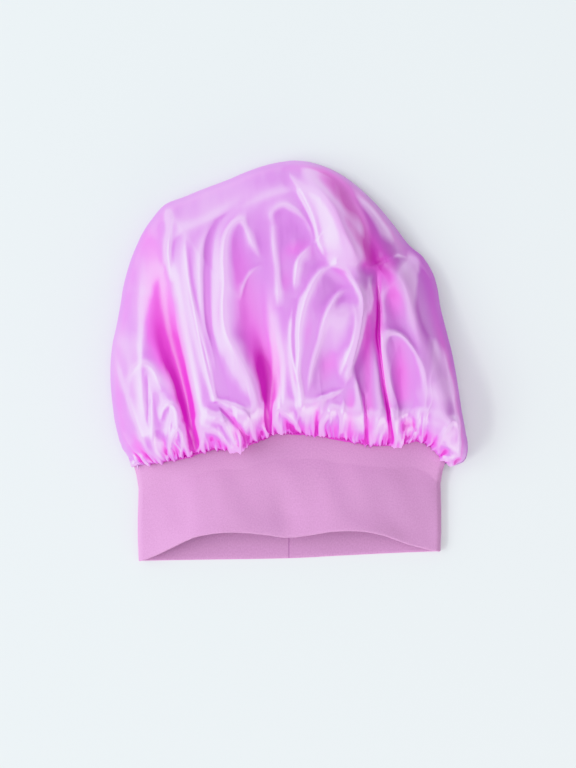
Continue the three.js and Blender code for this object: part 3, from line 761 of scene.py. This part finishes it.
def gathers(place, away, count, rise, reach, seed):
    """Small round pleats with sharp valleys between them, which die out away from the seam."""
    chance = np.random.default_rng(seed)
    cuts = np.cumsum(chance.uniform(0.5, 1.5, count))
    cuts = np.concatenate([[0], cuts]) / cuts[-1]
    place = place + WANDER / count * lattice_noise(place * count / 3, away / reach, seed + 50)
    phase = np.interp(place, cuts, np.arange(count + 1))
    cell = np.minimum(phase.astype(int), count - 1)
    size = chance.uniform(0.4, 1.3, count)[cell]
    length = reach * chance.uniform(0.5, 1.6, count)[cell]
    share = phase - cell
    round_top = np.abs(np.sin(np.pi * share)) ** 0.8
    sharp_top = np.exp(-np.abs(2 * share - 1) / SHARP_WIDTH) - np.exp(-1 / SHARP_WIDTH)
    is_sharp = (chance.uniform(0, 1, count) < SHARP_SHARE)[cell]
    return rise * size * np.where(is_sharp, SHARP_RISE * sharp_top, round_top) * np.exp(-((away / length) ** 1.3))


# How many pleats fit along the seam, their height and how far up they reach in mm, and a seed for their sizes.
FRONT_PLEATS = [(76, 2.0, 4.5, 1), (44, 2.0, 9, 2), (22, 1.6, 18, 3), (11, 1.5, 30, 4)]
BACK_PLEATS = [(70, 3.0, 9, 11), (31, 3.0, 22, 12), (14, 2.5, 60, 13)]


def pleats(away, kinds):
    """All the pleats of a list together, over a grid of distances from the seam."""
    place = np.broadcast_to(seam_share, away.shape)
    return sum(gathers(place, away, count, rise * MM, reach * MM, seed) for count, rise, reach, seed in kinds)


def outward(grid):
    """The direction out of a grid of points, for each point."""
    along, up = np.gradient(grid, axis=1), np.gradient(grid, axis=0)
    normal = np.cross(along, up)
    return normal / (np.linalg.norm(normal, axis=2, keepdims=True) + 1e-12)


# The turned edge takes part in the gathers row by row: not at all in the allowance, and nearly in full at its end.
RING, RING_PART = len(front_ring), [0, 0, 0, 0.3, 0.6, 0.9]
SEAM_TUCK, TUCK_REACH = 5 * MM, 8 * MM
SAG, SAG_PLACE, SAG_REACH = 0.3 * MM, 3 * MM, 5 * MM
# How near the outline and the seam the relief dies out.
RIM_FADE, GATHER_RIM_FADE, FOLD_FADE, GATHER_FADE = 9 * MM, 12 * MM, 14 * MM, 4 * MM

front_grid = np.concatenate([front_ring, np.concatenate([front_plan, ground[..., None]], -1)])
away = np.concatenate([np.zeros(front_ring.shape[:2]), to_seam])
edge_mask = np.concatenate([np.ones(front_ring.shape[:2]), smoothstep(to_edge / GATHER_RIM_FADE)])
in_turn = np.concatenate([RING_PART, np.ones(len(front_plan))])[:, None]
front_grid[..., 1] -= in_turn * SAG * np.exp(-(((away - SAG_PLACE) / SAG_REACH) ** 2))
gather_rise = pleats(away, FRONT_PLEATS) - SEAM_TUCK * np.exp(-away / TUCK_REACH)
ends = smoothstep(np.minimum(seam_share, 1 - seam_share) / 0.03)
front_grid += outward(front_grid) * (in_turn * gather_rise * ends * (0.3 + 0.7 * edge_mask))[..., None]

# The front's rows are a view of the grid, so what moves them moves the grid.
front = front_grid[RING:]
plan_x, plan_y = front_plan[..., 0], front_plan[..., 1]
wrinkle = 0.1 * MM * lattice_noise(plan_x / (7 * MM), plan_y / (26 * MM), 7)
wrinkle += 0.04 * MM * lattice_noise(plan_x / (3 * MM) + plan_y / (30 * MM), plan_y / (12 * MM), 8)
mask = smoothstep(to_edge / RIM_FADE)
lift = mask * (0.15 + 0.85 * smoothstep(to_seam / FOLD_FADE)) * fold_rise
lift += mask * (0.2 + 0.8 * smoothstep(to_seam / GATHER_FADE)) * gather_fold_rise
front[..., 2] += mask * wrinkle
front[..., 2] += lift


def overhang(at, width, drop, rise):
    """Lets a puff of cloth sag over the seam and onto the band. The place and width are in pixels, the rest in mm."""
    across = (front[..., 0] / PIXEL + CENTRE_PX[0] - at) / width
    share = np.exp(-(across**2)) * smoothstep(to_seam / (2.5 * MM)) * np.exp(-((to_seam / (10 * MM)) ** 2))
    front[..., 1] -= drop * MM * share
    front[..., 2] += rise * MM * share


for puff in ((238, 10, 6.0, 2.5), (276, 7, 2.0, 1.0), (318, 9, 2.0, 1.0), (396, 10, 2.5, 1.2), (452, 12, 2.5, 1.0)):
    overhang(*puff)
print("gathers, mm:", round(float(gather_rise.max()) / MM, 1), " top, mm:", round(float(front[..., 2].max()) / MM, 1))

# %% [markdown]
# ## The back of the crown
#
# The back lies on the table and can't be seen in the photograph. It rounds under from the outline, lies almost flat,
# and turns up to the seam as the front does.

# %% Back
TABLE_GAP = 0.25 * MM
BACK_BEND, SEAM_RISE_REACH = 12 * MM, 6 * MM
CREASE_RISE = 1.2 * MM
FLAT_RIM, FLAT_FADE = 14 * MM, 20 * MM

back_ring = ring_rows(-1)
back_share = (1 - np.cos(np.pi * np.linspace(0, 1, BACK_ROWS + 1)[1:])) / 2
back_plan = back_ring[-1, :, :2] + (top - back_ring[-1, :, :2]) * back_share[:, None, None]
back_edge = distance_from(edge_line, back_plan)
back_seam = distance_from(back_ring[-1, ::4, :2], back_plan)
under = EDGE_HEIGHT * (1 - quarter_round(back_edge / BACK_BEND))
rise_to_seam = (back_ring[-1, :, 2] - TABLE_GAP) * np.exp(-((back_seam / SEAM_RISE_REACH) ** 2))
rippled = pleats(back_seam, BACK_PLEATS) * smoothstep(back_seam / (3 * MM))
creased = CREASE_RISE * lattice_noise(back_plan[..., 0] / (16 * MM), back_plan[..., 1] / (34 * MM), 21).clip(0)
inner = smoothstep((back_edge - FLAT_RIM) / FLAT_FADE)
back_height = TABLE_GAP + under + rise_to_seam + inner * (creased + rippled)
back = np.concatenate([back_plan, back_height[..., None]], -1)
back[-1] = front[-1]
back_grid = np.concatenate([back_ring, back])
print("back's lowest, mm:", round(float(back[..., 2].min()) / MM, 2))


# %% One bag
def add_mesh(name, points, faces):
    """A smooth-shaded mesh in the scene."""
    mesh = bpy.data.meshes.new(name)
    mesh.from_pydata(points.tolist(), [], faces)
    mesh.polygons.foreach_set("use_smooth", np.ones(len(mesh.polygons), bool))
    return place_object(name, mesh)


def thicken(piece, thickness, offset):
    """Gives a sheet its thickness: an offset of -1 adds it all inside, and 0 half on each side."""
    solid = piece.modifiers.new("thickness", "SOLIDIFY")
    solid.thickness, solid.offset = thickness, offset


def crown_faces():
    """The faces of front and back, joined along the outline and at the two ends of the seam."""
    front_index = np.arange(len(front_grid) * COLUMNS).reshape(-1, COLUMNS)
    back_index = np.arange(len(back_grid) * COLUMNS).reshape(-1, COLUMNS) + front_index.size
    front_index[-1] = back_index[-1]
    steps = np.round(np.linspace(0, BACK_ROWS - 1, FRONT_ROWS)).astype(int)
    for end in (0, -1):
        front_index[:RING, end] = back_index[:RING, end]
        front_index[RING:, end] = back_index[RING + steps, end]
    quads = []
    for index, way in ((front_index, 1), (back_index, -1)):
        corners = [index[:-1, :-1], index[:-1, 1:], index[1:, 1:], index[1:, :-1]]
        quads += np.stack(corners[::way], -1).reshape(-1, 4).tolist()
    faces = [tuple(dict.fromkeys(quad)) for quad in quads]
    return [face for face in faces if len(face) > 2]


faces = crown_faces()
all_points = np.concatenate([front_grid.reshape(-1, 3), back_grid.reshape(-1, 3)])
crown_points = np.unique(np.concatenate([np.array(face) for face in faces]))
renumber = np.full(len(all_points), -1)
renumber[crown_points] = np.arange(len(crown_points))
faces = [tuple(int(renumber[i]) for i in face) for face in faces]
crown = add_mesh("satin_crown", all_points[crown_points], faces)
thicken(crown, SATIN, -1)
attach(crown, "root")
print("crown:", len(crown.data.vertices), "points")


# %% What the satin's finish reads
def write_uv(piece, uv):
    """Lays a cloth place, in metres, on every point of a mesh."""
    layer = piece.data.uv_layers.new(name="cloth")
    corner = np.empty(len(piece.data.loops), int)
    piece.data.loops.foreach_get("vertex_index", corner)
    layer.data.foreach_set("uv", uv[corner].ravel())


def write_on_crown(name, values, ring_values):
    """Stores a number per point of the crown: the front's grid, its turned edge, and 0 on the back."""
    rows = np.concatenate([np.broadcast_to(ring_values, (RING, COLUMNS)), values])
    numbers = np.concatenate([rows.ravel(), np.zeros(len(back_grid) * COLUMNS)])[crown_points]
    crown.data.attributes.new(name, "FLOAT", "POINT").data.foreach_set("value", numbers.astype(np.float32))


DIRECTIONS = 16


def closed_in(points, cell=1.0 * MM, reach=60 * MM):
    """How much of the sky over each point is hidden by folds that rise round it, from 0 to 1."""
    low = points[:, :2].min(0) - reach
    size = np.ceil((points[:, :2].max(0) + reach - low) / cell).astype(int)
    place = ((points[:, :2] - low) / cell).astype(int)
    flat = place[:, 0] * size[1] + place[:, 1]
    count = blurred(np.bincount(flat, minlength=size.prod()).reshape(size).astype(float), 1)
    total = blurred(np.bincount(flat, points[:, 2], size.prod()).reshape(size), 1)
    height = total / np.maximum(count, 1e-9) * (count > 1e-3)
    slope = np.gradient(blurred(height, 2), cell)
    hidden = np.zeros(size)
    for turn in np.radians(np.arange(0, 360, 360 / DIRECTIONS)):
        step = np.array([np.cos(turn), np.sin(turn)])
        horizon = np.full(size, -9.0)
        for distance in np.arange(2, reach / cell, 3):
            shift = np.round(step * distance).astype(int)
            there = np.roll(height, -shift, (0, 1))
            horizon = np.maximum(horizon, (there - height) / (np.hypot(*shift) * cell))
        tangent = slope[0] * step[0] + slope[1] * step[1]
        hidden += np.sin((np.arctan(horizon) - np.arctan(tangent)).clip(0, np.pi / 2)) ** 2 / DIRECTIONS
    hidden = blurred(hidden, 1)
    return hidden[place[:, 0], place[:, 1]]


# A point that stands this far over the cloth round it counts as 1 proud.
PROUD_STEP = 0.2 * MM
# How much painted shade the gaps between gathers get, and how far from the seam it reaches.
GAP_SHADE, GAP_REACH = 0.22, 30 * MM

write_uv(crown, all_points[crown_points][:, :2])
# How far each point stands over the cloth round it, used below for a painted highlight on the crests.
proud = (front[..., 2] - blurred(front[..., 2], COLUMNS // 100)) * mask / PROUD_STEP
write_on_crown("proud", proud, 0)
# Painted shade: how much sky the folds hide over each point, faded out at the outline and near the seam, with more in
# the gaps between gathers.
fade = mask * (0.25 + 0.75 * smoothstep(to_seam / (9 * MM)))
painted_gap_shade = GAP_SHADE * smoothstep((-proud - 0.3) / 2.5) * (1 - smoothstep(to_seam / GAP_REACH))
hidden = closed_in(front.reshape(-1, 3)).reshape(fade.shape) * fade + painted_gap_shade
write_on_crown("closed_in", hidden, hidden[:1])
# The painted fold shade, painted sheen and painted rim shade strokes, one number per point of the crown.
for name, values in {"glow": glow, "sheen": sheen, "dull": dull}.items():
    write_on_crown(name, values.clip(0, 1), values[:1].clip(0, 1))
print("proud crests:", [round(float(v), 2) for v in np.percentile(proud, (1, 10, 50, 90, 99))])
print("closed in, at most:", round(float(hidden.max()), 2), " in the middle:", round(float(np.median(hidden)), 3))

# %% [markdown]
# ## The band
#
# One strip of rib knit is sewn into a loop and folded double, so its fold is the mouth's edge and both raw edges go
# into the seam. Its middle surface is drawn as a U round the whole loop: up one ply, over the fold, and up the other.
# A Solidify modifier then gives it the knit's thickness, which keeps both plies even.

# %% Band
BAND_ROWS, BAND_SIDE_COLUMNS = ((60, 260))
PLY_OFF = (PLY_GAP + KNIT) / 2
RUFFLES = [(62, 38, 0.5, 1.0), (41, -52, 0.35, 2.2), (95, 75, 0.5, 0.4), (27, 20, 0.16, 3.0)]


def soft_waves(x, y, waves):
    """Low, wide waves: each is a wavelength in mm, a direction in degrees, a height in mm and a start."""
    total = 0
    for length, turn, rise, start in waves:
        along = x * np.cos(np.radians(turn)) + y * np.sin(np.radians(turn))
        total = total + rise * MM * np.sin(2 * np.pi * along / (length * MM) + start)
    return total


band_share, band_side = round_stations(BAND_SIDE_COLUMNS)
levels = [(PLY_OFF, 1.0, up) for up in (ALLOWANCE, ALLOWANCE * 2 / 3, ALLOWANCE / 3)]
levels += [(PLY_OFF, s, 0) for s in np.linspace(1, 0, BAND_ROWS)]
levels += [(PLY_OFF * np.cos(a), 0.0, -PLY_OFF * np.sin(a)) for a in np.radians(np.arange(30, 180, 30))]
levels += [(-PLY_OFF, s, 0) for s in np.linspace(0, 1, BAND_ROWS)]
levels += [(-PLY_OFF, 1.0, up) for up in (ALLOWANCE / 3, ALLOWANCE * 2 / 3, ALLOWANCE)]
band_grid = np.array([wall_point(band_share, band_side, s, off, up) for off, s, up in levels])
level = np.array([s for _, s, _ in levels])[:, None]
ruffle = soft_waves(band_grid[..., 0], band_grid[..., 1], RUFFLES)
band_grid[..., 2] += np.where(band_side > 0, ruffle * smoothstep(4 * level) * smoothstep((1.02 - level) * 2), 0)

index = np.arange(band_grid[..., 0].size).reshape(band_grid.shape[:2])
index = np.concatenate([index, index[:, :1]], 1)
quads = np.stack([index[:-1, :-1], index[1:, :-1], index[1:, 1:], index[:-1, 1:]], -1).reshape(-1, 4)
band = add_mesh("knit_band", band_grid.reshape(-1, 3), quads.tolist())
round_way = length_along(wall_point(band_share, band_side, 0.5, 0))
up_way = length_along(band_grid[:, len(band_share) // 4])
write_uv(band, np.stack(np.broadcast_arrays(round_way[None], up_way[:, None]), -1).reshape(-1, 2))
# The way round to the middle of the back, where the strip's two ends meet.
BACK_MIDDLE = float(round_way[len(band_share) - np.abs(band_share[::-1] - 0.5)[:len(band_share) // 2].argmin() - 1])
thicken(band, KNIT, 0)
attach(band, "root")
print("band:", len(band.data.vertices), "points")

# %% [markdown]
# ## The stitches
#
# Four rows of thread hold the bonnet: the running stitch that gathers the crown, the overlock round all the raw
# edges, the needle stitches through crown and band, and the seam that closes the band's strip at the centre back.
# Only the last one shows in the photograph, as a thin line inside the mouth. The others are inside the crown.

# %% Stitches
THREAD = 0.2 * MM


def stitch_row(name, stitches):
    """One piece of thread per stitch, each a smooth bent tube through its points."""
    curve = bpy.data.curves.new(name, "CURVE")
    curve.dimensions, curve.bevel_depth, curve.bevel_resolution, curve.use_fill_caps = "3D", 1.0, 1, True
    for points in stitches:
        spline = curve.splines.new("POLY")
        spline.points.add(len(points) - 1)
        for point, place in zip(spline.points, points):
            point.co = (*(float(v) for v in place), 1.0)
            point.radius = THREAD
    piece = place_object(name, curve)
    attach(piece, "root")
    return piece


def seam_place(way, off, up):
    """A point by its way round the seam, from 0 to 1, its distance off the wall's middle and its height up it."""
    loop = wall_point(*round_stations(400), 1.0, off, up)
    loop = np.concatenate([loop, loop[:1]])
    reached = length_along(loop)
    return np.stack([np.interp(way * reached[-1], reached, loop[:, k]) for k in range(3)], -1)


def running(off, up, count, filled):
    """Straight stitches round the seam, with their ends sunk a little."""
    start = np.arange(count) / count
    bends = [(0, -0.08), (0.2, 0), (0.8, 0), (1, -0.08)]
    return np.stack([seam_place(start + filled * t / count, off + dip * MM, up) for t, dip in bends], 1)


GATHERING_STITCHES, NEEDLE_STITCHES, OVERLOCK_STITCHES = 150, 190, 210
GATHERING_LINE, NEEDLE_LINE = 1.4 * MM, 1.2 * MM
SATIN_MIDDLE = WALL / 2 + CLEARANCE + SATIN / 2
OUTER, INNER = SATIN_MIDDLE + SATIN / 2 + THREAD, -WALL / 2 - CLEARANCE - THREAD
gathering = stitch_row("gathering_stitches", running(OUTER, GATHERING_LINE, GATHERING_STITCHES, 0.75))
needle = stitch_row("needle_stitches", running(INNER, NEEDLE_LINE, NEEDLE_STITCHES, 0.85))

# An overlock stitch goes up outside, over the raw edges and down inside, and fills 0.8 of its stretch of the seam.
LOW, OVER = ALLOWANCE - 3.6 * MM, ALLOWANCE + 0.3 * MM + THREAD
hoop = [(OUTER, LOW, 0), (OUTER, ALLOWANCE, 0.2), (SATIN_MIDDLE, OVER, 0.35)]
hoop += [(-WALL / 2, OVER, 0.6), (INNER, ALLOWANCE, 0.75), (INNER, LOW, 1)]
start = np.arange(OVERLOCK_STITCHES) / OVERLOCK_STITCHES
hoops = [seam_place(start + t * 0.8 / OVERLOCK_STITCHES, off, up) for off, up, t in hoop]
overlock = stitch_row("overlock_stitches", np.stack(hoops, 1))

# The strip's two ends are joined by a zigzag up the middle of the back.
ZIGZAG = 0.0022
steps = np.arange(0.01, 0.99, 0.024)
across = np.where(np.arange(len(steps)) % 2, ZIGZAG, -ZIGZAG)
inside = wall_point(0.5 + across, np.full(len(steps), -1.0), steps, WALL / 2 - WALL - 0.5 * THREAD)
centre_back = stitch_row("band_seam_stitches", np.stack([inside[:-1], inside[1:]], 1))
thread_pieces = [gathering, needle, overlock, centre_back]
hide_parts("crown_gathering_thread")
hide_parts("crown_seam_needle_thread")
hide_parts("crown_seam_overlock")
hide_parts("band_seam_thread")
print("stitches:", sum(len(piece.data.splines) for piece in thread_pieces))

# %% [markdown]
# ## Finishes
#
# Satin is woven with long floats of bright filament. Its colour is deep where the light has bounced from fold to
# fold, and nearly white where a fold mirrors the window. So the base is a strong pink, and a clear coat lies over it.
# The coat's IOR of 3.1 is higher than any real coat's, and is set for the sheen. Five numbers on the crown's points
# vary the satin, and all five are painted light and shade. "closed_in" is how much of the sky the folds hide, and is
# raised in the gaps between gathers. The painted fold shade strokes add to it. Both are painted shade: they deepen
# the pink and thin the coat. "proud" is how far a point stands over the cloth round it. It and the painted sheen
# strokes are a painted highlight: they make the cloth paler. The painted rim shade strokes are painted shade on the
# reflection: they thin the coat near the right rim. These three sets of strokes follow the photograph's light, and
# the other two numbers are worked out from the shape.

# %% Satin
# How much of the coat the painted shade takes away in the valleys and near the right rim.
COAT_LOST_IN_VALLEYS, COAT_LOST_AT_RIM = 0.85, 0.7

coat = {"Coat Weight": 1.0, "Coat Roughness": 0.34, "Coat IOR": 3.1}
satin = Finish("orchid_satin", {"Roughness": 0.5, "IOR": 1.5} | coat)
# Painted shade where folds hide the sky and under the painted fold shade strokes: the pink deepens and the coat thins.
valley = satin.remap(satin.attribute("closed_in") + 0.2 * satin.attribute("glow"), 0.03, 0.24)
satin.vary("Coat Weight", (1 - COAT_LOST_IN_VALLEYS * valley) * (1 - COAT_LOST_AT_RIM * satin.attribute("dull")))
# The first stop is the satin's own pink, and the two deeper ones are painted shade.
pink_and_painted_shade = [(0.0, srgb(206, 88, 212)), (0.6, srgb(234, 90, 220)), (1.0, srgb(206, 48, 182))]
tone = satin.add("ValToRGB", {"stops": pink_and_painted_shade}, {"Fac": valley})
# Painted highlight: crests that stand proud, and the painted sheen strokes, mix the pink towards a pale one.
painted_crest_highlight = satin.remap(satin.attribute("proud") + 3.0 * satin.attribute("sheen"), 0.25, 3.0, 0.0, 0.8)
satin.vary("Base Color", satin.blend(painted_crest_highlight, tone, srgb(250, 190, 252)))
satin.vary("Normal", satin.bump(satin.fibres((2600, 700), 2.0), 0.3, 0.0002))

# %% Knit
knit = Finish("matte_knit", {"Roughness": 0.92, "IOR": 1.35, "Sheen Weight": 0.2, "Sheen Roughness": 0.5})
place = knit.cloth_place()
patch = knit.add("TexNoise", {}, {"Vector": place, "Scale": 14.0, "Detail": 3.0})
loops = knit.fibres((900, 650), 3.0)
tone = knit.blend(patch, srgb(186, 132, 173), srgb(195, 141, 182))
tone = knit.blend(knit.remap(loops, 0.3, 0.7), tone, srgb(202, 149, 190))
off_middle = abs(knit.add("SeparateXYZ", {}, {"Vector": place}, "X") - BACK_MIDDLE)
at_seam = knit.remap(off_middle, 0.0003, 0.0009, 1.0, 0.0)
knit.vary("Base Color", knit.blend(0.55 * at_seam, tone, srgb(160, 96, 150)))
wales = knit.add("TexWave", {"bands_direction": "X"}, {"Vector": place, "Scale": 280.0, "Distortion": 0.6})
knit.vary("Normal", knit.bump(loops + 0.2 * wales - 2.0 * at_seam, 0.3, 0.0002))

# %% Thread
thread = Finish("sewing_thread", {"Roughness": 0.6, "Sheen Weight": 0.1})
twist = thread.add("TexNoise", {}, {"Vector": thread.add("TexCoord", {}, {}, "Object"), "Scale": 900.0})
thread.vary("Base Color", thread.blend(twist, srgb(186, 128, 186), srgb(204, 146, 202)))
thread.vary("Normal", thread.bump(twist, 0.3, 0.0001))

crown.data.materials.append(satin.material)
band.data.materials.append(knit.material)
for piece in thread_pieces:
    piece.data.materials.append(thread.material)

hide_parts("crown")
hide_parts("band")
